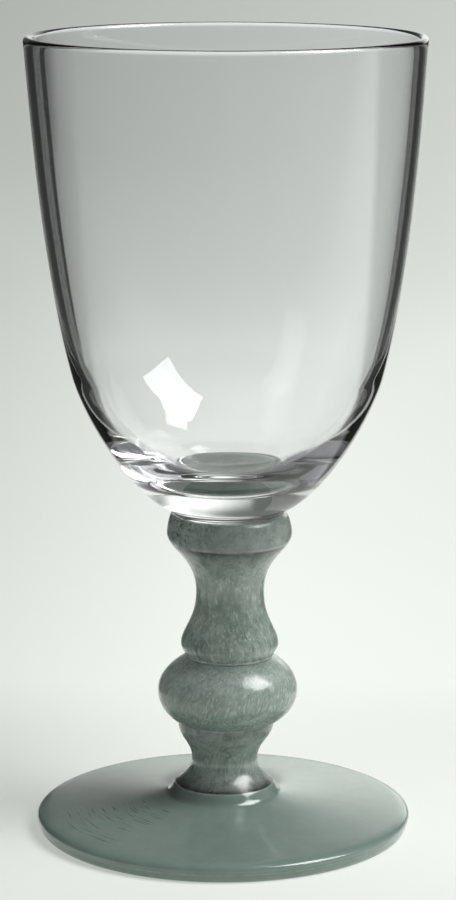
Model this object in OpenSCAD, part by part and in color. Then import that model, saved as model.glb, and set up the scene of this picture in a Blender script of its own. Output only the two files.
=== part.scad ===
// Water goblet: a clear blown bowl on a coloured, knopped stem and a broad foot.
// Six glass pieces stand on one another along the Z axis and meet in shallow dished welds.
// The foot rests on z = 0. Sizes are in millimetres and angles in degrees from level.

/* [Foot] */
// Widest diameter of the foot
foot_d = 85.2; // [76:0.2:96]
// Height of the foot's widest line above the table
foot_widest_h = 2.7; // [2.2:0.1:3.2]
// Height of the disc where its edge starts to round over
foot_edge_h = 4.35; // [3.8:0.05:5]
// Width of the rounded shoulder round the disc
foot_shoulder_w = 3.1; // [1.5:0.1:5]
// Outer diameter of the flat ring that the foot rests on
foot_rest_d = 82; // [70:0.5:84]
// Width of that resting ring
foot_rest_w = 3.5; // [2:0.1:6]
// Depth of the shallow hollow underneath, at its middle
foot_hollow_h = 1.4; // [0.6:0.1:2.4]
// Diameter of the ground spot where the foot was cracked off the rod
pontil_d = 13; // [8:0.5:16]
// Depth of that ground spot
pontil_h = 0.5; // [0.2:0.1:1]
// Height of the low boss in the middle of the foot
boss_h = 10.3; // [9:0.1:13]
// Height at which the boss runs out into the disc
boss_toe_h = 7.3; // [6:0.1:8.2]
// Diameter of the boss where it runs out
boss_toe_d = 26; // [25:0.2:32]

/* [Lower knop] */
// Height of the knop with its flared end
knop_h = 14.25; // [12:0.05:18]
// Diameter of the flared end that stands on the boss
flare_d = 22.4; // [19:0.2:24]
// Ledge of the boss that shows round the flared end
flare_ledge_w = 0.4; // [0.2:0.1:0.8]
// Diameter at the waist
waist_d = 15; // [12:0.2:18]
// Height of the waist above the boss
waist_h = 5.4; // [4:0.1:7]
// Largest diameter of the knop, at its top
knop_d = 21.8; // [19:0.2:24]

/* [Bulb knop] */
// Height of the bulb
bulb_h = 15.3; // [13:0.1:20]
// Largest diameter of the bulb
bulb_d = 31.8; // [28:0.2:38]
// Height of that diameter above the bulb's lower end
bulb_belly_h = 7.6; // [6:0.1:9]
// Diameter of the groove between the bulb and the baluster
groove_d = 19.6; // [17:0.2:21]

/* [Baluster] */
// Height of the baluster
baluster_h = 26.8; // [24:0.2:34]
// Diameter of its belly, just above the groove
belly_d = 22.3; // [21.5:0.1:26]
// Height of the belly above the groove
belly_h = 3; // [2.4:0.1:4.4]
// Diameter of the slim neck
neck_d = 15.5; // [12:0.1:18]
// Height of the slim neck above the groove
neck_h = 15.05; // [13:0.05:17]

/* [Collar] */
// Height of the collar
collar_h = 6.35; // [5:0.05:8]
// Largest diameter of the collar
collar_d = 28.4; // [27.6:0.1:33]
// Height of that diameter above the collar's lower end
collar_belly_h = 2; // [1.2:0.1:3]
// Diameter where the baluster's flared top meets the collar
collar_weld_d = 27.1; // [26:0.1:27.5]
// Ledge of the collar's rounded lip that shows round the bowl
collar_lip_w = 0.4; // [0.2:0.1:1]

/* [Bowl] */
// Height of the bowl, from the collar to the rim
bowl_h = 107; // [90:1:130]
// Outside diameter at the rim
rim_d = 88.8; // [78:0.5:100]
// Diameter where the clear glass meets the collar
bowl_weld_d = 25; // [22:0.2:25.2]
// Height of the short clear neck above the collar
bowl_neck_h = 2.6; // [2:0.1:4]
// Outside diameter at the top of that neck
bowl_neck_d = 31.4; // [30:0.2:40]
// Outside diameter at the shoulder, where the side starts
shoulder_d = 69.8; // [62:0.1:76]
// Height of the shoulder above the collar
shoulder_h = 32.1; // [26:0.1:40]
// Thickness of the solid glass under the bowl's floor
base_h = 9.6; // [6:0.1:12]
// How far the corner of the cup inside lies in from the shoulder
cup_corner_in = 5.4; // [4.4:0.1:8]
// How far that corner lies below the shoulder
cup_corner_drop = 4.4; // [3:0.1:8]
// Wall thickness at the rim
rim_wall = 1.9; // [1.2:0.1:2.6]
// Height of the fire-polished rounding on the rim
lip_h = 1.1; // [0.6:0.1:1.6]
// Steepness of the side at the shoulder
shoulder_angle = 76; // [65:1:80]
// Steepness of the side at the rim
rim_angle = 86; // [82:0.5:89]

/* [Welds] */
// How far each piece is dished into the one below it
weld_dish_h = 0.6; // [0:0.1:1.2]

/* [Hidden] */
$fn = 180;
// Straight steps that stand for one curve of an outline
curve_steps = 20;

// Heights of the welds above the table
knop_z = boss_h;
bulb_z = knop_z + knop_h;
baluster_z = bulb_z + bulb_h;
collar_z = baluster_z + baluster_h;
bowl_z = collar_z + collar_h;

// Steepness of each outline where it leaves or reaches a weld or an edge
flare_angle = 143;
boss_angle = 100;
boss_toe_angle = 172;
disc_angle = 174;
bulb_foot_angle = 32;
groove_angle = 157;
belly_foot_angle = 67;
collar_weld_angle = 57;
bowl_neck_angle = 34;
cup_corner_angle = 58.5;

// Reach of each curve's handles, as shares of the height or the width that the curve covers
flare_share = 0.45;
waist_share = 0.38;
knop_low_share = 0.48;
knop_top_share = 0.42;
bulb_foot_share = 0.5;
bulb_low_share = 0.44;
bulb_high_share = 0.47;
bulb_top_share = 0.37;
belly_foot_share = 0.3;
belly_low_share = 0.25;
belly_high_share = 0.26;
neck_low_share = 0.55;
neck_high_share = 0.56;
collar_foot_share = 0.26;
collar_belly_share = 0.35;
collar_top_share = 0.45;
edge_share = 0.62;
disc_share = 0.5;
side_low_share = 0.32;
side_high_share = 0.33;
under_low_share = 0.36;
under_high_share = 0.27;
floor_flat_share = 0.5;
floor_rise_share = 0.94;
cup_low_share = 0.17;
cup_high_share = 0.4;

// Point at share t along the cubic curve from a to d with handles b and c
function curve_point(a, b, c, d, t) =
    pow(1 - t, 3) * a + 3 * pow(1 - t, 2) * t * b + 3 * (1 - t) * pow(t, 2) * c + pow(t, 3) * d;

// Points along that curve, from its start to its end
function curve(a, b, c, d) =
    [for (i = [0:curve_steps]) curve_point(a, b, c, d, i / curve_steps)];

// Point at a given reach from p, in the direction of angle
function from(p, angle, reach) = p + reach * [cos(angle), sin(angle)];

// Points of the dished weld at height z, from the axis out to its edge
function weld(d, z) =
    [for (i = [0:curve_steps]) [d / 2 * i / curve_steps, z - weld_dish_h * (1 - pow(i / curve_steps, 2))]];

function reversed(points) = [for (i = [len(points) - 1:-1:0]) points[i]];

// Turns a closed outline of [radius, height] points about the Z axis
module turned(points) {
    rotate_extrude() polygon(points);
}

// Top of the disc, from its shoulder in to the toe of the boss, and up the boss to the weld
function foot_top() =
    let (edge = [foot_d / 2 - foot_shoulder_w, foot_edge_h])
    let (toe = [boss_toe_d / 2, boss_toe_h])
    let (brim = [flare_d / 2 + flare_ledge_w, boss_h])
    let (reach = disc_share * (edge[0] - toe[0]) / 2)
    concat(
        curve(edge, from(edge, disc_angle, reach), from(toe, boss_toe_angle - 180, reach), toe),
        curve(toe, from(toe, boss_toe_angle, (toe[0] - brim[0]) / 2),
              from(brim, boss_angle + 180, (boss_h - boss_toe_h) / 2), brim));

// Rounded edge of the disc, from the resting ring up to the shoulder
function foot_edge() =
    let (rest = [foot_rest_d / 2, 0])
    let (widest = [foot_d / 2, foot_widest_h])
    let (edge = [foot_d / 2 - foot_shoulder_w, foot_edge_h])
    concat(
        curve(rest, [rest[0] + edge_share * (widest[0] - rest[0]), 0],
              [widest[0] - (widest[0] - rest[0]) / 4, foot_widest_h * (1 - edge_share)], widest),
        curve(widest, [widest[0], foot_widest_h + edge_share * (foot_edge_h - foot_widest_h)],
              from(edge, disc_angle - 180, edge_share * foot_shoulder_w), edge));

// Hollow underneath, from the ground spot out to the resting ring
function foot_hollow() =
    let (inner = foot_rest_d / 2 - foot_rest_w)
    [for (i = [0:curve_steps])
        let (r = pontil_d / 2 + (inner - pontil_d / 2) * i / curve_steps)
        [r, foot_hollow_h * (1 - pow(r / inner, 2))]];

// Ground spot, a shallow dish cut into the top of the hollow
function pontil() =
    let (brim_z = foot_hollow()[0][1])
    [for (i = [0:curve_steps - 1])
        [pontil_d / 2 * i / curve_steps, brim_z + pontil_h * (1 - pow(i / curve_steps, 2))]];

module foot() {
    color("#7f9388")
        turned(concat(pontil(), foot_hollow(), foot_edge(), foot_top(), reversed(weld(flare_d, knop_z))));
}

module lower_knop() {
    flare = [flare_d / 2, knop_z];
    waist = [waist_d / 2, knop_z + waist_h];
    top = [knop_d / 2, bulb_z];
    rise = top[1] - waist[1];
    color("#77887f")
        turned(concat(
            weld(flare_d, knop_z),
            curve(flare, from(flare, flare_angle, flare_share * waist_h),
                  [waist[0], waist[1] - waist_share * waist_h], waist),
            curve(waist, [waist[0], waist[1] + knop_low_share * rise],
                  [top[0], top[1] - knop_top_share * rise], top),
            reversed(weld(knop_d, bulb_z))));
}

module bulb_knop() {
    low = [knop_d / 2, bulb_z];
    belly = [bulb_d / 2, bulb_z + bulb_belly_h];
    groove = [groove_d / 2, baluster_z];
    rise = groove[1] - belly[1];
    color("#7b8c83")
        turned(concat(
            weld(knop_d, bulb_z),
            curve(low, from(low, bulb_foot_angle, bulb_foot_share * bulb_belly_h),
                  [belly[0], belly[1] - bulb_low_share * bulb_belly_h], belly),
            curve(belly, [belly[0], belly[1] + bulb_high_share * rise],
                  from(groove, groove_angle + 180, bulb_top_share * rise), groove),
            reversed(weld(groove_d, baluster_z))));
}

module baluster() {
    groove = [groove_d / 2, baluster_z];
    belly = [belly_d / 2, baluster_z + belly_h];
    neck = [neck_d / 2, baluster_z + neck_h];
    top = [collar_weld_d / 2, collar_z];
    belly_rise = neck[1] - belly[1];
    neck_rise = top[1] - neck[1];
    color("#74867c")
        turned(concat(
            weld(groove_d, baluster_z),
            curve(groove, from(groove, belly_foot_angle, belly_foot_share * belly_h),
                  [belly[0], belly[1] - belly_low_share * belly_h], belly),
            curve(belly, [belly[0], belly[1] + belly_high_share * belly_rise],
                  [neck[0], neck[1] - neck_low_share * belly_rise], neck),
            curve(neck, [neck[0], neck[1] + neck_high_share * neck_rise],
                  from(top, collar_weld_angle + 180, collar_foot_share * neck_rise), top),
            reversed(weld(collar_weld_d, collar_z))));
}

module collar() {
    low = [collar_weld_d / 2, collar_z];
    belly = [collar_d / 2, collar_z + collar_belly_h];
    lip = [bowl_weld_d / 2 + collar_lip_w, bowl_z];
    rise = lip[1] - belly[1];
    color("#738479")
        turned(concat(
            weld(collar_weld_d, collar_z),
            curve(low, from(low, collar_weld_angle, collar_belly_share * collar_belly_h),
                  [belly[0], belly[1] - collar_belly_share * collar_belly_h], belly),
            curve(belly, [belly[0], belly[1] + collar_belly_share * rise],
                  [lip[0] + collar_top_share * (belly[0] - lip[0]), lip[1]], lip),
            reversed(weld(bowl_weld_d, bowl_z))));
}

// Outside of the bowl, from the weld up to the rim
function bowl_outside() =
    let (foot_point = [bowl_weld_d / 2, bowl_z])
    let (neck = [bowl_neck_d / 2, bowl_z + bowl_neck_h])
    let (shoulder = [shoulder_d / 2, bowl_z + shoulder_h])
    let (rim = [rim_d / 2, bowl_z + bowl_h - lip_h])
    let (under = shoulder[1] - neck[1])
    let (side = rim[1] - shoulder[1])
    concat(
        curve(foot_point, [foot_point[0], foot_point[1] + bowl_neck_h / 2],
              from(neck, bowl_neck_angle + 180, bowl_neck_h / 2), neck),
        curve(neck, from(neck, bowl_neck_angle, under_low_share * under),
              from(shoulder, shoulder_angle + 180, under_high_share * under), shoulder),
        curve(shoulder, from(shoulder, shoulder_angle, side_low_share * side),
              from(rim, rim_angle + 180, side_high_share * side), rim));

// Inside of the bowl, from the rim down to the middle of its floor
function bowl_inside() =
    let (floor_z = bowl_z + base_h)
    let (corner = [shoulder_d / 2 - cup_corner_in, bowl_z + shoulder_h - cup_corner_drop])
    let (rim = [rim_d / 2 - rim_wall, bowl_z + bowl_h - lip_h])
    let (side = rim[1] - corner[1])
    reversed(concat(
        curve([0, floor_z], [floor_flat_share * corner[0], floor_z],
              from(corner, cup_corner_angle + 180, floor_rise_share * (corner[1] - floor_z)), corner),
        curve(corner, from(corner, cup_corner_angle, cup_low_share * side),
              from(rim, rim_angle + 180, cup_high_share * side), rim)));

// Fire-polished rounding over the rim, between the two sides
function lip() =
    [for (i = [1:curve_steps - 1])
        let (a = 180 * i / curve_steps)
        [(rim_d - rim_wall) / 2 + rim_wall / 2 * cos(a), bowl_z + bowl_h - lip_h + lip_h * sin(a)]];

module bowl() {
    color([0.86, 0.9, 0.92, 0.4])
        turned(concat(weld(bowl_weld_d, bowl_z), bowl_outside(), lip(), bowl_inside()));
}

foot();
lower_knop();
bulb_knop();
baluster();
collar();
bowl();
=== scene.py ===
from math import cos, hypot, pi, radians, sin, tan

import bmesh
import bpy
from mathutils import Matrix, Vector, noise


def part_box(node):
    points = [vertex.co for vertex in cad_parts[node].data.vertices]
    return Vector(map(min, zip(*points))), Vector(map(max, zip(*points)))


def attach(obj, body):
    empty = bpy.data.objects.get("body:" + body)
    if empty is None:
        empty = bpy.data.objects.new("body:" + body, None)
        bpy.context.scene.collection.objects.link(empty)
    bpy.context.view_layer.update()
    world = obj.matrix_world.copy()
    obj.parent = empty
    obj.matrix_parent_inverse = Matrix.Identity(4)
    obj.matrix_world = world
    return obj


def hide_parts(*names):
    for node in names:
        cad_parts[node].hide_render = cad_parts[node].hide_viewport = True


mm = 0.001

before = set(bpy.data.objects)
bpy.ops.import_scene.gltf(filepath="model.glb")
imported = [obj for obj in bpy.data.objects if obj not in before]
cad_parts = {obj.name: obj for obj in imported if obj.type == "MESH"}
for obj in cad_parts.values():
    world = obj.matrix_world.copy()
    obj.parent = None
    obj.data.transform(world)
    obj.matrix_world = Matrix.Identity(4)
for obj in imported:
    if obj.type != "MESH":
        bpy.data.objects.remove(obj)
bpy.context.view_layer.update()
print("frame loaded:", sorted(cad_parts))


# Heights of the hot joints, each at the brim of the piece below it
jointHeight = {
    "lower_knop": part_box("foot")[1].z,
    "bulb_knop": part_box("lower_knop")[1].z,
    "baluster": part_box("bulb_knop")[1].z,
    "collar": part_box("baluster")[1].z,
    "bowl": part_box("collar")[1].z,
}

# A hand-made stem is never quite straight or round
handMade = {
    # sideways drift of the axis at a few heights
    "leanHeights": [0, 17, 32, 43, 55, 69, 77, 98, 121, 152, 180],
    "leanOffsets": [-0.7, -0.3, 0.3, 0.8, 0.95, 0.8, 0.5, 0.4, 0.3, 0.15, 0],
    "turns": 288,          # faces round each piece
    "curveSteps": 28,      # rings along each curve of an outline
    "dishDepth": 0.6,      # how far each joint is dished
    "dishSteps": 6,
    "wobbleRound": 1.3,    # how quickly the wobble changes round the stem
    "wobbleAlong": 45,     # and along it, per metre
    "wobbleSeed": 3.1,
    "sharpAngle": 16,      # edges steeper than this stay crisp
}
# outline points closer than this are one point, and a radius under this lies on the axis (m)
samePoint, onAxis = 1e-6, 1e-7


def clamp01(v):
    return min(max(v, 0.0), 1.0)


def ease(v):
    v = clamp01(v)
    return v * v * (3 - 2 * v)


def between(value, places, levels, blend=clamp01):
    # the level at a value, from a table of places and their levels
    for i in range(len(places) - 1):
        if value <= places[i + 1]:
            t = blend((value - places[i]) / (places[i + 1] - places[i]))
            return levels[i] + (levels[i + 1] - levels[i]) * t
    return levels[-1]


def leanAt(z):
    return mm * between(z / mm, handMade["leanHeights"], handMade["leanOffsets"], ease)


def go(point, angle, reach):
    # the point at a reach from another, with the angle in degrees from level
    return (point[0] + reach * cos(radians(angle)), point[1] + reach * sin(radians(angle)))


def curve(a, b, c, d, steps=handMade["curveSteps"]):
    # points along one curve from a to d, drawn towards the handles b and c
    points = []
    for i in range(steps + 1):
        t = i / steps
        u = 1 - t
        points.append(tuple(u**3 * p + 3 * u * u * t * q + 3 * u * t * t * r + t**3 * s
                            for p, q, r, s in zip(a, b, c, d)))
    return points


def dish(radius, height):
    depth, steps = handMade["dishDepth"] * mm, handMade["dishSteps"]
    return [(radius * i / steps, height - depth * (1 - (i / steps) ** 2))
            for i in range(steps + 1)]


def turned(name, outline, wobble=0.0):
    # a closed mesh from an outline of (radius, height) points that starts and ends on the axis
    s = handMade
    turns = s["turns"]
    points = [outline[0]]
    for p in outline[1:]:
        if hypot(p[0] - points[-1][0], p[1] - points[-1][1]) > samePoint:
            points.append(p)
    mesh = bmesh.new()
    rings = []
    for radius, height in points:
        if radius < onAxis:
            rings.append([mesh.verts.new((leanAt(height), 0, height))])
            continue
        ring = []
        for k in range(turns):
            a = 2 * pi * k / turns
            drift = 0.0
            if wobble:
                where = Vector((cos(a) * s["wobbleRound"], sin(a) * s["wobbleRound"],
                                height * s["wobbleAlong"] + s["wobbleSeed"]))
                drift = wobble * noise.noise(where)
            ring.append(mesh.verts.new(((radius + drift) * cos(a) + leanAt(height),
                                        (radius + drift) * sin(a), height)))
        rings.append(ring)
    for low, high in zip(rings, rings[1:]):
        for k in range(turns):
            j = (k + 1) % turns
            if len(low) == 1:
                mesh.faces.new((low[0], high[j], high[k]))
            elif len(high) == 1:
                mesh.faces.new((low[k], low[j], high[0]))
            else:
                mesh.faces.new((low[k], low[j], high[j], high[k]))
    bmesh.ops.recalc_face_normals(mesh, faces=mesh.faces)
    data = bpy.data.meshes.new(name)
    mesh.to_mesh(data)
    mesh.free()
    data.shade_smooth()
    data.set_sharp_from_angle(angle=radians(s["sharpAngle"]))
    piece = bpy.data.objects.new(name, data)
    bpy.context.scene.collection.objects.link(piece)
    return piece


# Foot: a domed disc with a rounded edge, a low boss, and a shallow hollow underneath
footSizes = {
    "widestHeight": 2.7, "edgeHeight": 4.35, "shoulderWidth": 3.1,
    "restDiameter": 82, "restWidth": 3.5, "hollowDepth": 1.4,
    "pontilDiameter": 13, "pontilDepth": 0.5,
    "toeHeight": 7.7, "toeDiameter": 26.8, "ledge": 0.1,
    "discSlope": 174, "toeSlope": 165, "bossSlope": 127, "bossShare": 0.5,
    "edgeShare": 0.62, "discShare": 0.5,
}


def footOutline():
    s = footSizes
    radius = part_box("foot")[1].x
    joint = jointHeight["lower_knop"]
    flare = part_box("lower_knop")[1].x
    rest = (s["restDiameter"] / 2 * mm, 0)
    widest = (radius, s["widestHeight"] * mm)
    edge = (radius - s["shoulderWidth"] * mm, s["edgeHeight"] * mm)
    toe = (s["toeDiameter"] / 2 * mm, s["toeHeight"] * mm)
    brim = (flare + s["ledge"] * mm, joint)
    inner = rest[0] - s["restWidth"] * mm
    pontil = s["pontilDiameter"] / 2 * mm
    steps = handMade["curveSteps"]

    def hollowAt(r):
        return s["hollowDepth"] * mm * (1 - (r / inner) ** 2)

    spot = s["pontilDepth"] * mm
    ground = [(pontil * i / steps, hollowAt(pontil) + spot * (1 - (i / steps) ** 2))
              for i in range(steps)]
    hollow = [(r, hollowAt(r))
              for r in (pontil + (inner - pontil) * i / steps for i in range(steps + 1))]
    out = widest[0] - rest[0]
    share = s["edgeShare"]
    under = curve(rest, (rest[0] + share * out, 0),
                  (widest[0] - out / 4, widest[1] * (1 - share)), widest)
    over = curve(widest, (widest[0], widest[1] + share * (edge[1] - widest[1])),
                 go(edge, s["discSlope"] - 180, share * (widest[0] - edge[0])), edge)
    reach = s["discShare"] * (edge[0] - toe[0]) / 2
    disc = curve(edge, go(edge, s["discSlope"], reach), go(toe, s["toeSlope"] - 180, reach), toe)
    boss = curve(toe, go(toe, s["toeSlope"], s["bossShare"] * (toe[0] - brim[0])),
                 go(brim, s["bossSlope"] + 180, s["bossShare"] * (brim[1] - toe[1])), brim)
    top = list(reversed(dish(flare, joint)))
    return ground + hollow + under + over + disc + boss + top


# Stem: four pieces. Each share is the reach of a curve's handle, as a part of the rise beside it
stemSizes = {
    "flareDiameter": 22.4, "flareSlope": 143, "waistDiameter": 15, "waistHeight": 5.4,
    "knopDiameter": 21.8, "flareShare": 0.45, "waistShare": 0.38,
    "knopLowShare": 0.48, "knopTopShare": 0.42,
    "bulbBellyHeight": 7.6, "grooveDiameter": 19.6, "bulbFootSlope": 32, "grooveSlope": 157,
    "bulbFootShare": 0.5, "bulbLowShare": 0.44, "bulbHighShare": 0.47, "bulbTopShare": 0.37,
    "bellyDiameter": 22.3, "bellyHeight": 3, "neckDiameter": 15.5, "neckHeight": 15.05,
    "bellyFootSlope": 67, "bellyFootShare": 0.3, "bellyLowShare": 0.25, "bellyHighShare": 0.26,
    "neckLowShare": 0.55, "neckHighShare": 0.56, "topSlope": 57, "topShare": 0.26,
    "topDiameter": 27.1, "collarBellyHeight": 2, "collarBellyShare": 0.35,
    "collarTopShare": 0.45, "lipLedge": 0.4,
    "seatDiameter": 25,    # the face that carries the bowl
    "wobble": 0.12,        # how far a hand-made gather strays from round
}


def knopOutline():
    s = stemSizes
    low, high = jointHeight["lower_knop"], jointHeight["bulb_knop"]
    flare = (s["flareDiameter"] / 2 * mm, low)
    waist = (s["waistDiameter"] / 2 * mm, low + s["waistHeight"] * mm)
    top = (s["knopDiameter"] / 2 * mm, high)
    rise = top[1] - waist[1]
    return (dish(*flare)
            + curve(flare, go(flare, s["flareSlope"], s["flareShare"] * s["waistHeight"] * mm),
                    (waist[0], waist[1] - s["waistShare"] * s["waistHeight"] * mm), waist)
            + curve(waist, (waist[0], waist[1] + s["knopLowShare"] * rise),
                    (top[0], top[1] - s["knopTopShare"] * rise), top)
            + list(reversed(dish(*top))))


def bulbOutline():
    s = stemSizes
    low, high = jointHeight["bulb_knop"], jointHeight["baluster"]
    seat = (s["knopDiameter"] / 2 * mm, low)
    belly = (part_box("bulb_knop")[1].x, low + s["bulbBellyHeight"] * mm)
    groove = (s["grooveDiameter"] / 2 * mm, high)
    drop, rise = belly[1] - low, high - belly[1]
    return (dish(*seat)
            + curve(seat, go(seat, s["bulbFootSlope"], s["bulbFootShare"] * drop),
                    (belly[0], belly[1] - s["bulbLowShare"] * drop), belly)
            + curve(belly, (belly[0], belly[1] + s["bulbHighShare"] * rise),
                    go(groove, s["grooveSlope"] + 180, s["bulbTopShare"] * rise), groove)
            + list(reversed(dish(*groove))))


def balusterOutline():
    s = stemSizes
    low, high = jointHeight["baluster"], jointHeight["collar"]
    groove = (s["grooveDiameter"] / 2 * mm, low)
    belly = (s["bellyDiameter"] / 2 * mm, low + s["bellyHeight"] * mm)
    neck = (s["neckDiameter"] / 2 * mm, low + s["neckHeight"] * mm)
    top = (s["topDiameter"] / 2 * mm, high)
    drop, middle, rise = belly[1] - low, neck[1] - belly[1], high - neck[1]
    return (dish(*groove)
            + curve(groove, go(groove, s["bellyFootSlope"], s["bellyFootShare"] * drop),
                    (belly[0], belly[1] - s["bellyLowShare"] * drop), belly)
            + curve(belly, (belly[0], belly[1] + s["bellyHighShare"] * middle),
                    (neck[0], neck[1] - s["neckLowShare"] * middle), neck)
            + curve(neck, (neck[0], neck[1] + s["neckHighShare"] * rise),
                    go(top, s["topSlope"] + 180, s["topShare"] * rise), top)
            + list(reversed(dish(*top))))


def collarOutline():
    s = stemSizes
    low, high = jointHeight["collar"], jointHeight["bowl"]
    seat = (s["topDiameter"] / 2 * mm, low)
    belly = (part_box("collar")[1].x, low + s["collarBellyHeight"] * mm)
    weld = s["seatDiameter"] / 2 * mm
    lip = (weld + s["lipLedge"] * mm, high)
    drop, rise = belly[1] - low, high - belly[1]
    meet = bowlSizes["meltDepth"] * mm
    return (dish(*seat)
            + curve(seat, go(seat, s["topSlope"], s["collarBellyShare"] * drop),
                    (belly[0], belly[1] - s["collarBellyShare"] * drop), belly)
            + curve(belly, (belly[0], belly[1] + s["collarBellyShare"] * rise),
                    (lip[0] + s["collarTopShare"] * (belly[0] - lip[0]), lip[1]), lip)
            + [(r, z + meet) for r, z in reversed(dish(weld - meet, high))])


# Bowl: a thin blown wall that thickens into a solid base, with a fire-polished rim
bowlSizes = {
    "neckHeight": 2.6, "neckDiameter": 31.4, "neckSlope": 34,
    "shoulderDiameter": 69.8, "shoulderHeight": 32.1, "shoulderSlope": 76, "rimSlope": 86,
    "baseThickness": 9.8, "rimWall": 1.9, "lipHeight": 1.1,
    "underLowShare": 0.36, "underHighShare": 0.27, "sideLowShare": 0.32, "sideHighShare": 0.33,
    # slopes of the wall inside, in degrees, at heights above the collar
    "cupHeights": [15.4, 16, 20, 23, 26.5, 30.4, 34, 38, 43, 47, 54],
    "cupSlopes": [45, 46.5, 53.5, 58.6, 63.7, 68.5, 73, 76.2, 78.3, 79.6, 81.2],
    "cupStep": 0.25, "cupTopRadius": 37.27, "cupLowShare": 0.33, "cupHighShare": 0.36,
    "floorFlatShare": 0.66, "floorRiseShare": 0.62,
    "meltDepth": 0.12,     # how far the collar's colour stands into the clear base
}


def bowlOutline():
    s = bowlSizes
    low = jointHeight["bowl"]
    rimRadius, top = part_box("bowl")[1].x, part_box("bowl")[1].z
    steps = handMade["curveSteps"]
    seat = (stemSizes["seatDiameter"] / 2 * mm, low)
    neck = (s["neckDiameter"] / 2 * mm, low + s["neckHeight"] * mm)
    shoulder = (s["shoulderDiameter"] / 2 * mm, low + s["shoulderHeight"] * mm)
    rim = (rimRadius, top - s["lipHeight"] * mm)
    under, side = shoulder[1] - neck[1], rim[1] - shoulder[1]
    half = s["neckHeight"] / 2 * mm
    outside = (curve(seat, (seat[0], seat[1] + half), go(neck, s["neckSlope"] + 180, half), neck)
               + curve(neck, go(neck, s["neckSlope"], s["underLowShare"] * under),
                       go(shoulder, s["shoulderSlope"] + 180, s["underHighShare"] * under),
                       shoulder, 2 * steps)
               + curve(shoulder, go(shoulder, s["shoulderSlope"], s["sideLowShare"] * side),
                       go(rim, s["rimSlope"] + 180, s["sideHighShare"] * side), rim, 2 * steps))
    wall = s["rimWall"] * mm
    lip = [(rim[0] - wall / 2 + wall / 2 * cos(pi * i / steps),
            rim[1] + s["lipHeight"] * mm * sin(pi * i / steps)) for i in range(1, steps)]
    floor = low + s["baseThickness"] * mm
    brim = (rim[0] - wall, rim[1])
    # the cup's wall turns upright evenly with height, so it is built downward from its slopes
    heights, slopes = s["cupHeights"], s["cupSlopes"]
    count = round((heights[-1] - heights[0]) / s["cupStep"])
    radius, cup = s["cupTopRadius"], []
    for i in range(count + 1):
        h = heights[-1] - i * s["cupStep"]
        if i:
            radius -= s["cupStep"] / tan(radians(between(h + s["cupStep"] / 2, heights, slopes)))
        cup.append((radius * mm, low + h * mm))
    cup.reverse()
    start, end = cup[0], cup[-1]
    reach = brim[1] - end[1]
    inside = (curve((0, floor), (s["floorFlatShare"] * start[0], floor),
                    go(start, slopes[0] + 180, s["floorRiseShare"] * (start[1] - floor)),
                    start, 2 * steps)
              + cup[1:-1]
              + curve(end, go(end, slopes[-1], s["cupLowShare"] * reach),
                      go(brim, s["rimSlope"] + 180, s["cupHighShare"] * reach), brim, 2 * steps))
    return dish(*seat) + outside + lip + list(reversed(inside))


stemWobble = stemSizes["wobble"] * mm
goblet = {
    "foot": turned("gobletFoot", footOutline()),
    "lower_knop": turned("lowerKnop", knopOutline(), stemWobble),
    "bulb_knop": turned("bulbKnop", bulbOutline(), stemWobble),
    "baluster": turned("balusterNeck", balusterOutline(), stemWobble),
    "collar": turned("stemCollar", collarOutline(), stemWobble),
    "bowl": turned("clearBowl", bowlOutline()),
}
print("glass turned:", len(goblet), "pieces")


# Finishes
def newMaterial(name):
    material = bpy.data.materials.new(name)
    material.use_nodes = True
    nodes, links = material.node_tree.nodes, material.node_tree.links
    return material, nodes, links, nodes["Principled BSDF"]


clearGlass = {"colour": (0.955, 0.96, 0.972, 1), "ior": 1.5, "roughness": 0.0}


def makeClearGlass():
    material, _, _, shader = newMaterial("clearBlownGlass")
    shader.inputs["Base Color"].default_value = clearGlass["colour"]
    shader.inputs["Roughness"].default_value = clearGlass["roughness"]
    shader.inputs["IOR"].default_value = clearGlass["ior"]
    shader.inputs["Transmission Weight"].default_value = 1.0
    return material


def mathNode(nodes, links, operation, first, second=None, third=None, clamp=False):
    node = nodes.new("ShaderNodeMath")
    node.operation = operation
    node.use_clamp = clamp
    for socket, value in zip(node.inputs, (first, second, third)):
        if isinstance(value, (int, float)):
            socket.default_value = value
        elif value is not None:
            links.new(value, socket)
    return node.outputs["Value"]


def noiseNode(nodes, links, vector, scale, detail, roughness=0.5, distortion=0.0):
    node = nodes.new("ShaderNodeTexNoise")
    for name, value in (("Scale", scale), ("Detail", detail),
                        ("Roughness", roughness), ("Distortion", distortion)):
        if isinstance(value, (int, float)):
            node.inputs[name].default_value = value
        else:
            links.new(value, node.inputs[name])
    links.new(vector, node.inputs["Vector"])
    return node.outputs["Fac"]


def placeNodes(nodes, links):
    # the point on the piece, whole and as its three coordinates
    place = nodes.new("ShaderNodeTexCoord")
    split = nodes.new("ShaderNodeSeparateXYZ")
    links.new(place.outputs["Object"], split.inputs["Vector"])
    return place.outputs["Object"], split.outputs


def thresholdNode(nodes, links, value, least, gain):
    # nothing up to the least value, then quickly full
    above = mathNode(nodes, links, "SUBTRACT", value, least)
    return mathNode(nodes, links, "MULTIPLY", above, gain, clamp=True)


def newGroup(name, inputs, outputs):
    group = bpy.data.node_groups.new(name, "ShaderNodeTree")
    for label, value in inputs:
        socket = group.interface.new_socket(label, in_out="INPUT", socket_type="NodeSocketFloat")
        socket.default_value = value
    for label in outputs:
        group.interface.new_socket(label, in_out="OUTPUT", socket_type="NodeSocketFloat")
    return group, group.nodes.new("NodeGroupInput"), group.nodes.new("NodeGroupOutput")


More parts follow.
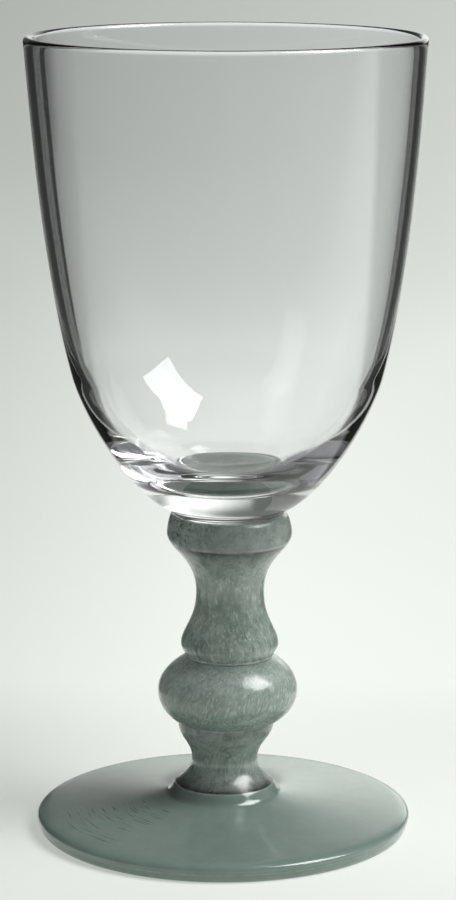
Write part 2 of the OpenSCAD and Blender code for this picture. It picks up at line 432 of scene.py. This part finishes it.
# Streaks drawn out along the stem and twisted round it, soft clouds, short pale dashes and
# coarse flecks, as one group
grain = {
    # of each noise: scale per metre, detail, roughness, distortion. The group gives streak's scale
    "streak": (3.0, 0.6, 0.6), "cloud": (260.0, 2.0, 0.5, 0.4),
    "fleck": (820.0, 2.0, 0.55, 1.2), "dash": (2100.0, 1.0, 0.5, 0.3),
    "fleckLevel": 0.47, "fleckGain": 14.0, "dashLevel": 0.56, "dashGain": 9.0,
    "pitDepth": -0.5,
}


def makeFigureGroup():
    s = grain
    group, given, result = newGroup(
        "drawnGlassFigure",
        (("Streak Scale", 1400.0), ("Stretch", 0.2), ("Twist", 60.0),
         ("Streaks", 0.5), ("Clouds", 0.4), ("Flecks", 0.0)),
        ("Tone", "Pits", "Dashes", "Height"))
    nodes, links = group.nodes, group.links
    point, axes = placeNodes(nodes, links)
    turn = nodes.new("ShaderNodeVectorRotate")
    turn.rotation_type = "Z_AXIS"
    links.new(point, turn.inputs["Vector"])
    links.new(mathNode(nodes, links, "MULTIPLY", axes["Z"], given.outputs["Twist"]),
              turn.inputs["Angle"])
    pull = nodes.new("ShaderNodeCombineXYZ")
    pull.inputs["X"].default_value = 1
    pull.inputs["Y"].default_value = 1
    links.new(given.outputs["Stretch"], pull.inputs["Z"])
    pulled = nodes.new("ShaderNodeVectorMath")
    pulled.operation = "MULTIPLY"
    links.new(turn.outputs["Vector"], pulled.inputs[0])
    links.new(pull.outputs["Vector"], pulled.inputs[1])
    along = pulled.outputs["Vector"]
    streak = noiseNode(nodes, links, along, given.outputs["Streak Scale"], *s["streak"])
    cloud = noiseNode(nodes, links, along, *s["cloud"])
    fleck = noiseNode(nodes, links, point, *s["fleck"])
    dash = noiseNode(nodes, links, along, *s["dash"])
    below = mathNode(nodes, links, "SUBTRACT", s["fleckLevel"], fleck)
    spread = mathNode(nodes, links, "MULTIPLY", below, s["fleckGain"], clamp=True)
    pits = mathNode(nodes, links, "MULTIPLY", spread, given.outputs["Flecks"], clamp=True)
    streaks = mathNode(nodes, links, "MULTIPLY",
                       mathNode(nodes, links, "SUBTRACT", streak, 0.5), given.outputs["Streaks"])
    clouds = mathNode(nodes, links, "MULTIPLY",
                      mathNode(nodes, links, "SUBTRACT", cloud, 0.5), given.outputs["Clouds"])
    both = mathNode(nodes, links, "ADD", streaks, clouds)
    links.new(mathNode(nodes, links, "ADD", both, 0.5, clamp=True), result.inputs["Tone"])
    links.new(pits, result.inputs["Pits"])
    links.new(thresholdNode(nodes, links, dash, s["dashLevel"], s["dashGain"]),
              result.inputs["Dashes"])
    links.new(mathNode(nodes, links, "MULTIPLY_ADD", pits, s["pitDepth"], streak),
              result.inputs["Height"])
    return group


# A ring round the glass at one height. Fine ones are weld lines where two gathers were welded, and
# one painted reflection line; wide ones are soft bands of painted shade and painted light
raggedEdge = {"scale": 500.0, "detail": 2.0, "level": 0.3, "gain": 3.0}


def makeWeldAndPaintedLightShadeGroup():
    s = raggedEdge
    group, given, result = newGroup("weldAndPaintedLightShadeRing", (("Level", 0.01), ("Width", 0.0003)), ("Mask",))
    nodes, links = group.nodes, group.links
    point, axes = placeNodes(nodes, links)
    ragged = noiseNode(nodes, links, point, s["scale"], s["detail"])
    away = mathNode(nodes, links, "SUBTRACT", axes["Z"], given.outputs["Level"])
    off = mathNode(nodes, links, "ABSOLUTE", away)
    reach = mathNode(nodes, links, "DIVIDE", off, given.outputs["Width"])
    near = mathNode(nodes, links, "SUBTRACT", 1.0, reach, clamp=True)
    strong = thresholdNode(nodes, links, ragged, s["level"], s["gain"])
    links.new(mathNode(nodes, links, "MULTIPLY", near, strong), result.inputs["Mask"])
    return group


figure = makeFigureGroup()
weldAndPaintedLightShadeRing = makeWeldAndPaintedLightShadeGroup()


def placeFigure(nodes, values):
    node = nodes.new("ShaderNodeGroup")
    node.node_tree = figure
    for name, value in values.items():
        node.inputs[name].default_value = value
    return node


def mixTo(nodes, links, first, colour, mask):
    # from the first colour, fixed or linked, to another one where the mask is full
    mix = nodes.new("ShaderNodeMix")
    mix.data_type = "RGBA"
    if isinstance(first, tuple):
        mix.inputs["A"].default_value = first
    else:
        links.new(first, mix.inputs["A"])
    mix.inputs["B"].default_value = colour
    links.new(mask, mix.inputs["Factor"])
    return mix.outputs["Result"]


def addRings(nodes, links, colour, rings):
    # rings are (height in m, width in mm, colour, share): weld lines, a painted reflection line,
    # and bands of painted shade and painted light
    for level, width, shade, share in rings:
        ring = nodes.new("ShaderNodeGroup")
        ring.node_tree = weldAndPaintedLightShadeRing
        ring.inputs["Level"].default_value = level
        ring.inputs["Width"].default_value = width * mm
        mask = mathNode(nodes, links, "MULTIPLY", ring.outputs["Mask"], share)
        colour = mixTo(nodes, links, colour, shade, mask)
    return colour


def bumpFrom(nodes, links, height, distance, strength):
    bump = nodes.new("ShaderNodeBump")
    bump.inputs["Distance"].default_value = distance
    bump.inputs["Strength"].default_value = strength
    links.new(height, bump.inputs["Height"])
    return bump.outputs["Normal"]


stemGlass = {
    "dark": (0.125, 0.162, 0.138, 1), "light": (0.31, 0.38, 0.335, 1),
    "pit": (0.045, 0.06, 0.052, 1), "dash": (0.50, 0.58, 0.53, 1), "dashShare": 0.42,
    "weld": (0.75, 0.82, 0.78, 1),
    "roughness": 0.04, "ior": 1.52, "coat": 0.25, "coatRoughness": 0.05,
    "colourDepth": (1.0, 1.0, 1.0), "bumpDistance": 0.00015, "bump": 0.6,
    "fleckSide": -0.001, "fleckFade": 0.009,     # the collar's flecks lie on its left side
}


def setSurface(shader, s, depth):
    # the plain values of one glass, on the shader's own sockets
    shader.inputs["Roughness"].default_value = s["roughness"]
    shader.inputs["IOR"].default_value = s["ior"]
    shader.inputs["Subsurface Weight"].default_value = 1.0
    shader.inputs["Subsurface Radius"].default_value = s["colourDepth"]
    shader.inputs["Subsurface Scale"].default_value = depth
    shader.inputs["Coat Weight"].default_value = s["coat"]
    shader.inputs["Coat Roughness"].default_value = s["coatRoughness"]


def makeStemGlass(name, figureValues, depth, bands, flecked=False):
    s = stemGlass
    material, nodes, links, shader = newMaterial(name)
    pattern = placeFigure(nodes, figureValues)
    if flecked:
        axes = placeNodes(nodes, links)[1]
        past = mathNode(nodes, links, "SUBTRACT", s["fleckSide"], axes["X"])
        side = mathNode(nodes, links, "DIVIDE", past, s["fleckFade"], clamp=True)
        links.new(mathNode(nodes, links, "MULTIPLY", side, figureValues["Flecks"]),
                  pattern.inputs["Flecks"])
    colour = mixTo(nodes, links, s["dark"], s["light"], pattern.outputs["Tone"])
    dashes = mathNode(nodes, links, "MULTIPLY", pattern.outputs["Dashes"], s["dashShare"])
    colour = mixTo(nodes, links, colour, s["dash"], dashes)
    colour = mixTo(nodes, links, colour, s["pit"], pattern.outputs["Pits"])
    # the bands are weld lines, a band of painted shade and bands of painted light
    rings = [(level, width, s[shade], share) for level, width, shade, share in bands]
    colour = addRings(nodes, links, colour, rings)
    links.new(colour, shader.inputs["Base Color"])
    normal = bumpFrom(nodes, links, pattern.outputs["Height"], s["bumpDistance"], s["bump"])
    links.new(normal, shader.inputs["Normal"])
    setSurface(shader, s, depth)
    return material


footGlass = {
    "dark": (0.15, 0.205, 0.178, 1), "light": (0.25, 0.328, 0.29, 1),
    "figure": {"Streak Scale": 240, "Stretch": 1.0, "Twist": 0.0, "Streaks": 0.5, "Clouds": 0.3},
    "roughness": 0.14, "ior": 1.5, "coat": 0.45, "coatRoughness": 0.07,
    "depth": 0.003, "colourDepth": (1.0, 1.0, 1.0), "bumpDistance": 0.00008, "bump": 0.25,
    "mark": (0.04, 0.055, 0.05, 1),
    "markAngle": -2.62, "markReach": 0.42, "markEnds": 6.0,      # where the marks lie, in radians
    "markFrom": 0.018, "markTo": 0.0392,                         # and between which radii
    "markAcross": 2600, "markAlong": 3.6, "markLevel": 0.6, "markSharp": 16,
    # the ring colour is the pale weld line at the boss and, at 1.9 mm, a painted reflection line
    # round the rim
    "ring": (0.5, 0.57, 0.53, 1),
    "rings": [(10.2, 0.4, 0.4), (1.9, 0.25, 0.3)],               # height and width in mm, share
}


def makeFootGlass():
    s = footGlass
    material, nodes, links, shader = newMaterial("smoothSageGlass")
    pattern = placeFigure(nodes, s["figure"])
    colour = mixTo(nodes, links, s["dark"], s["light"], pattern.outputs["Tone"])
    axes = placeNodes(nodes, links)[1]
    x, y = axes["X"], axes["Y"]
    square = mathNode(nodes, links, "MULTIPLY", x, x)
    radius = mathNode(nodes, links, "SQRT", mathNode(nodes, links, "MULTIPLY_ADD", y, y, square))
    angle = mathNode(nodes, links, "ARCTAN2", y, x)
    # curved marks of the shaping tool, on one side of the disc
    polar = nodes.new("ShaderNodeCombineXYZ")
    links.new(mathNode(nodes, links, "MULTIPLY", radius, s["markAcross"]), polar.inputs["X"])
    links.new(mathNode(nodes, links, "MULTIPLY", angle, s["markAlong"]), polar.inputs["Y"])
    lines = noiseNode(nodes, links, polar.outputs["Vector"], 1.0, 1.0)
    strong = thresholdNode(nodes, links, lines, s["markLevel"], s["markSharp"])
    aside = mathNode(nodes, links, "SUBTRACT", angle, s["markAngle"])
    left = mathNode(nodes, links, "SUBTRACT", s["markReach"],
                    mathNode(nodes, links, "ABSOLUTE", aside))
    window = mathNode(nodes, links, "MULTIPLY", left, s["markEnds"], clamp=True)
    inside = mathNode(nodes, links, "MULTIPLY",
                      mathNode(nodes, links, "GREATER_THAN", radius, s["markFrom"]),
                      mathNode(nodes, links, "LESS_THAN", radius, s["markTo"]))
    marks = mathNode(nodes, links, "MULTIPLY",
                     mathNode(nodes, links, "MULTIPLY", strong, window), inside)
    colour = mixTo(nodes, links, colour, s["mark"], marks)
    # the ring at the boss is a weld line; the low one round the rim is a painted reflection
    rings = [(level * mm, width, s["ring"], share) for level, width, share in s["rings"]]
    colour = addRings(nodes, links, colour, rings)
    links.new(colour, shader.inputs["Base Color"])
    height = mathNode(nodes, links, "MULTIPLY_ADD", marks, -1.0, pattern.outputs["Height"])
    normal = bumpFrom(nodes, links, height, s["bumpDistance"], s["bump"])
    links.new(normal, shader.inputs["Normal"])
    setSurface(shader, s, s["depth"])
    return material


# How each piece was worked: drawn out long, spun round, or cast thick with flecks
drawn = {"Streak Scale": 1050, "Stretch": 0.3, "Twist": 8,
         "Streaks": 2.2, "Clouds": 1.7, "Flecks": 0.25}
spun = {"Streak Scale": 1500, "Stretch": 0.3, "Twist": -22,
        "Streaks": 1.8, "Clouds": 1.0, "Flecks": 0.05}
cast = {"Streak Scale": 900, "Stretch": 0.7, "Twist": 0,
        "Streaks": 0.8, "Clouds": 0.7, "Flecks": 1.3}
# Depth is how far light spreads in the glass. Bands are height in m, width in mm, colour, share
underBulb, overBulb, underCollar = (jointHeight[n] for n in ("bulb_knop", "baluster", "collar"))
# the fine weld bands are weld lines, the wide dark band is painted shade and the wide pale
# dash-coloured bands are painted light
finishes = {
    "bowl": makeClearGlass(),
    "collar": makeStemGlass(
        "fleckedSageGlass", cast, depth=0.05, flecked=True,
        # the wide pale band round the collar is painted light; the fine one at its foot is a weld
        # line
        bands=[(0.0705, 6, "dash", 0.5), (underCollar + 0.25 * mm, 0.6, "weld", 1.0)]),
    "baluster": makeStemGlass(
        "drawnSageGlass", drawn, depth=0.07,
        # the wide dark band round the neck, 53.5 mm up, is a painted shadow of the bowl
        bands=[(0.0535, 10, "dark", 1.0), (overBulb + 0.5 * mm, 0.4, "weld", 1.0),
               (underCollar - 0.25 * mm, 0.6, "weld", 1.0),
               # the wide pale band just under the collar is painted light, lifting the shade there
               (underCollar - 2.5 * mm, 5, "dash", 0.45)]),
    "bulb_knop": makeStemGlass(
        "spunSageGlass", spun, depth=0.08,
        # the wide pale band below the bulb's top is painted light; the fine one at its foot is a
        # weld line
        bands=[(underBulb + 0.25 * mm, 0.5, "weld", 0.8), (overBulb - 3 * mm, 5, "dash", 0.3)]),
    "lower_knop": makeStemGlass(
        "waistedSageGlass", spun, depth=0.045,
        # both wide pale bands, near the knop's top and near its bottom, are painted light lifting
        # the shade there
        bands=[(0.0225, 6, "dash", 0.75), (0.0125, 6, "dash", 0.7)]),
    "foot": makeFootGlass(),
}

for node, piece in goblet.items():
    piece.data.materials.append(finishes[node])
    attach(piece, "root")
    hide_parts(node)
print("finishes made:", len(finishes))


# Studio: a pale sweep, one large soft light from the right, and the photograph's camera
studio = {
    "reach": 1.8, "wallHeight": 2.7, "bendRadius": 0.5, "spread": 3.2,
    # the sheet of paper under the glass, how it widens with depth, and the dark past its edges
    "sheetLeft": 0.05, "leftOpening": 0.19, "sheetRight": 0.045, "rightOpening": 0.262,
    "sheetFade": 0.008, "darkStart": 0.09, "darkFade": 0.025,
    "darkHeight": 0.13, "darkHeightFade": 0.08, "wallSide": 0.80, "wallSideFade": 0.12,
    "edgeDim": 0.28, "edgeDimWidth": 0.12, "nearStart": -0.03, "nearFade": 0.12,
    # in front of the glass and well to its left no light falls
    "frontEdge": 0.15, "sideEdge": 0.25, "frontDim": 1.0, "frontFade": 0.1,
    "paper": 0.50, "paperRoughness": 0.9, "beyond": 0.04, "beyondGlow": 0.02,
    # how brightly the paper shines at each depth, and how that changes from left to right
    "tint": (0.965, 1.0, 0.945), "sideSlope": 1.1, "sideLeast": 0.6, "sideMost": 1.4,
    "glowDepths": [-0.2, 0.0, 0.12, 0.2, 0.3, 0.45, 0.65, 0.85, 1.2, 1.5, 1.8],
    "glowLevels": [0.25, 0.47, 0.625, 0.60, 0.565, 0.535, 0.495, 0.45, 0.41, 0.36, 0.28],
    # the lit wall, and the slanting shadow that cuts it off above
    "wallGlow": 1.0, "wallFrom": 0.10, "wallFull": 0.20, "wallDark": 0.06,
    "cutHeight": 0.58, "cutSlope": 0.8, "cutLeft": 0.5, "cutRight": 0.3, "cutFade": 0.42,
    "lightAzimuth": 107, "lightElevation": 48, "lightDistance": 1.05, "lightAim": 0.09,
    "lightWidth": 0.6, "lightHeight": 0.64, "lightPower": 12.2,
    "worldColour": (0.14, 0.145, 0.15, 1),
}

# Rows and columns of the sweep: fine where the photograph shows it, wide outside
sweepGrid = {
    "outerColumns": (0.8, 1.2, 2), "fineLeft": -0.5, "columnStep": 0.005, "columns": 201,
    "frontRows": (-2, -1.2, -0.7), "fineFront": -0.4, "rowStep": 0.01, "rows": 171,
    "bendRows": 40, "wallStep": 0.02, "wallRows": 25, "highRow": 1.4,
}


def sheetAt(x, y, z):
    # how pale the paper is and how much light falls on it, at one point of the sweep
    s = studio
    left = s["sheetLeft"] + s["leftOpening"] * max(y, 0)
    right = s["sheetRight"] + s["rightOpening"] * max(y, 0)
    past = max(x - right, -left - x)
    behind = clamp01((y - s["darkStart"]) / s["darkFade"])
    below = clamp01((s["darkHeight"] + s["darkHeightFade"] - z) / s["darkHeightFade"])
    off = clamp01(past / s["sheetFade"]) * behind * below
    off = max(off, clamp01((abs(x) - s["wallSide"]) / s["wallSideFade"]) * behind)
    glow = between(y, s["glowDepths"], s["glowLevels"])
    rise = ease((z - s["wallFrom"]) / (s["wallFull"] - s["wallFrom"]))
    cut = s["cutHeight"] + s["cutSlope"] * min(max(x, -s["cutLeft"]), s["cutRight"])
    drop = 1 - ease((z - cut + s["cutFade"]) / (2 * s["cutFade"]))
    glow += (s["wallGlow"] - glow) * rise
    glow = s["wallDark"] + (glow - s["wallDark"]) * drop if z > s["wallFrom"] else glow
    glow *= min(max(1 + s["sideSlope"] * x, s["sideLeast"]), s["sideMost"])
    glow *= 1 - s["frontDim"] * max(clamp01((-s["frontEdge"] - y) / s["frontFade"]),
                                    clamp01((-s["sideEdge"] - x) / s["frontFade"]))
    near = ease((y - s["nearStart"]) / s["nearFade"])
    glow *= 1 - s["edgeDim"] * near * below * clamp01(1 + past / s["edgeDimWidth"])
    return s["paper"] + (s["beyond"] - s["paper"]) * off, glow + (s["beyondGlow"] - glow) * off


def makeSweep():
    s, g = studio, sweepGrid
    bend, reach, spread = s["bendRadius"], s["reach"], s["spread"]
    outer = [*g["outerColumns"], spread]
    across = ([-x for x in reversed(outer)]
              + [g["fineLeft"] + g["columnStep"] * i for i in range(g["columns"])] + outer)
    # the path runs from the front along the floor, round the bend and up the wall
    path = [(y, 0) for y in (-spread, *g["frontRows"])]
    path += [(g["fineFront"] + g["rowStep"] * i, 0) for i in range(g["rows"])]
    for i in range(1, g["bendRows"] + 1):
        a = pi / (2 * g["bendRows"]) * i
        path.append((reach - bend + bend * sin(a), bend - bend * cos(a)))
    path += [(reach, bend + g["wallStep"] * i) for i in range(1, g["wallRows"] + 1)]
    path += [(reach, g["highRow"]), (reach, s["wallHeight"])]
    mesh = bmesh.new()
    light = mesh.verts.layers.float_color.new("light")
    rows = []
    for y, z in path:
        row = []
        for x in across:
            vert = mesh.verts.new((x, y, z))
            pale, glow = sheetAt(x, y, z)
            vert[light] = (pale, glow, 0, 1)
            row.append(vert)
        rows.append(row)
    for near, far in zip(rows, rows[1:]):
        for i in range(len(across) - 1):
            mesh.faces.new((near[i], near[i + 1], far[i + 1], far[i]))
    data = bpy.data.meshes.new("sweep")
    mesh.to_mesh(data)
    mesh.free()
    data.shade_smooth()
    sweep = bpy.data.objects.new("sweep", data)
    bpy.context.scene.collection.objects.link(sweep)
    material, nodes, links, shader = newMaterial("paleSweep")
    shader.inputs["Roughness"].default_value = s["paperRoughness"]
    shader.inputs["Specular IOR Level"].default_value = 0.0
    stored = nodes.new("ShaderNodeAttribute")
    stored.attribute_name = "light"
    parts = nodes.new("ShaderNodeSeparateColor")
    links.new(stored.outputs["Color"], parts.inputs["Color"])
    paper = nodes.new("ShaderNodeVectorMath")
    paper.operation = "SCALE"
    paper.inputs[0].default_value = s["tint"]
    links.new(parts.outputs["Red"], paper.inputs["Scale"])
    links.new(paper.outputs["Vector"], shader.inputs["Base Color"])
    shader.inputs["Emission Color"].default_value = (*s["tint"], 1)
    links.new(parts.outputs["Green"], shader.inputs["Emission Strength"])
    data.materials.append(material)


def makeLights():
    s = studio
    az, el = radians(s["lightAzimuth"]), radians(s["lightElevation"])
    way = Vector((sin(az) * cos(el), cos(az) * cos(el), sin(el)))
    data = bpy.data.lights.new("softBox", "AREA")
    data.shape = "RECTANGLE"
    data.size, data.size_y = s["lightWidth"], s["lightHeight"]
    data.energy = s["lightPower"]
    box = bpy.data.objects.new("softBox", data)
    bpy.context.scene.collection.objects.link(box)
    box.location = Vector((0, 0, s["lightAim"])) + way * s["lightDistance"]
    box.rotation_euler = (-way).to_track_quat("-Z", "Y").to_euler()
    box.visible_camera = False
    world = bpy.data.worlds.new("darkRoom")
    world.use_nodes = True
    world.node_tree.nodes["Background"].inputs["Color"].default_value = s["worldColour"]
    bpy.context.scene.world = world


makeSweep()
makeLights()
print("studio lit")

# The camera as fitted to the rim, the foot and the axis of the glass in the photograph
lens = {"away": 0.69435, "height": 0.23025, "side": 0.00044, "pitchDown": 11.62,
        "focalPixels": 3157.9, "framePixels": 900, "sensorWidth": 36, "clipStart": 0.02}
cameraData = bpy.data.cameras.new("photoCamera")
cameraData.sensor_width = lens["sensorWidth"]
cameraData.lens = lens["sensorWidth"] * lens["focalPixels"] / lens["framePixels"]
cameraData.clip_start = lens["clipStart"]
camera = bpy.data.objects.new("photoCamera", cameraData)
camera.location = (lens["side"], -lens["away"], lens["height"])
camera.rotation_euler = (radians(90 - lens["pitchDown"]), 0, 0)
bpy.context.scene.collection.objects.link(camera)
bpy.context.scene.camera = camera

# Light that crosses the bowl passes many walls of glass
scene = bpy.context.scene
scene.view_settings.view_transform = "Standard"
scene.cycles.max_bounces = 24
scene.cycles.transmission_bounces = 24
scene.cycles.glossy_bounces = 12
scene.cycles.transparent_max_bounces = 16
print("camera set")
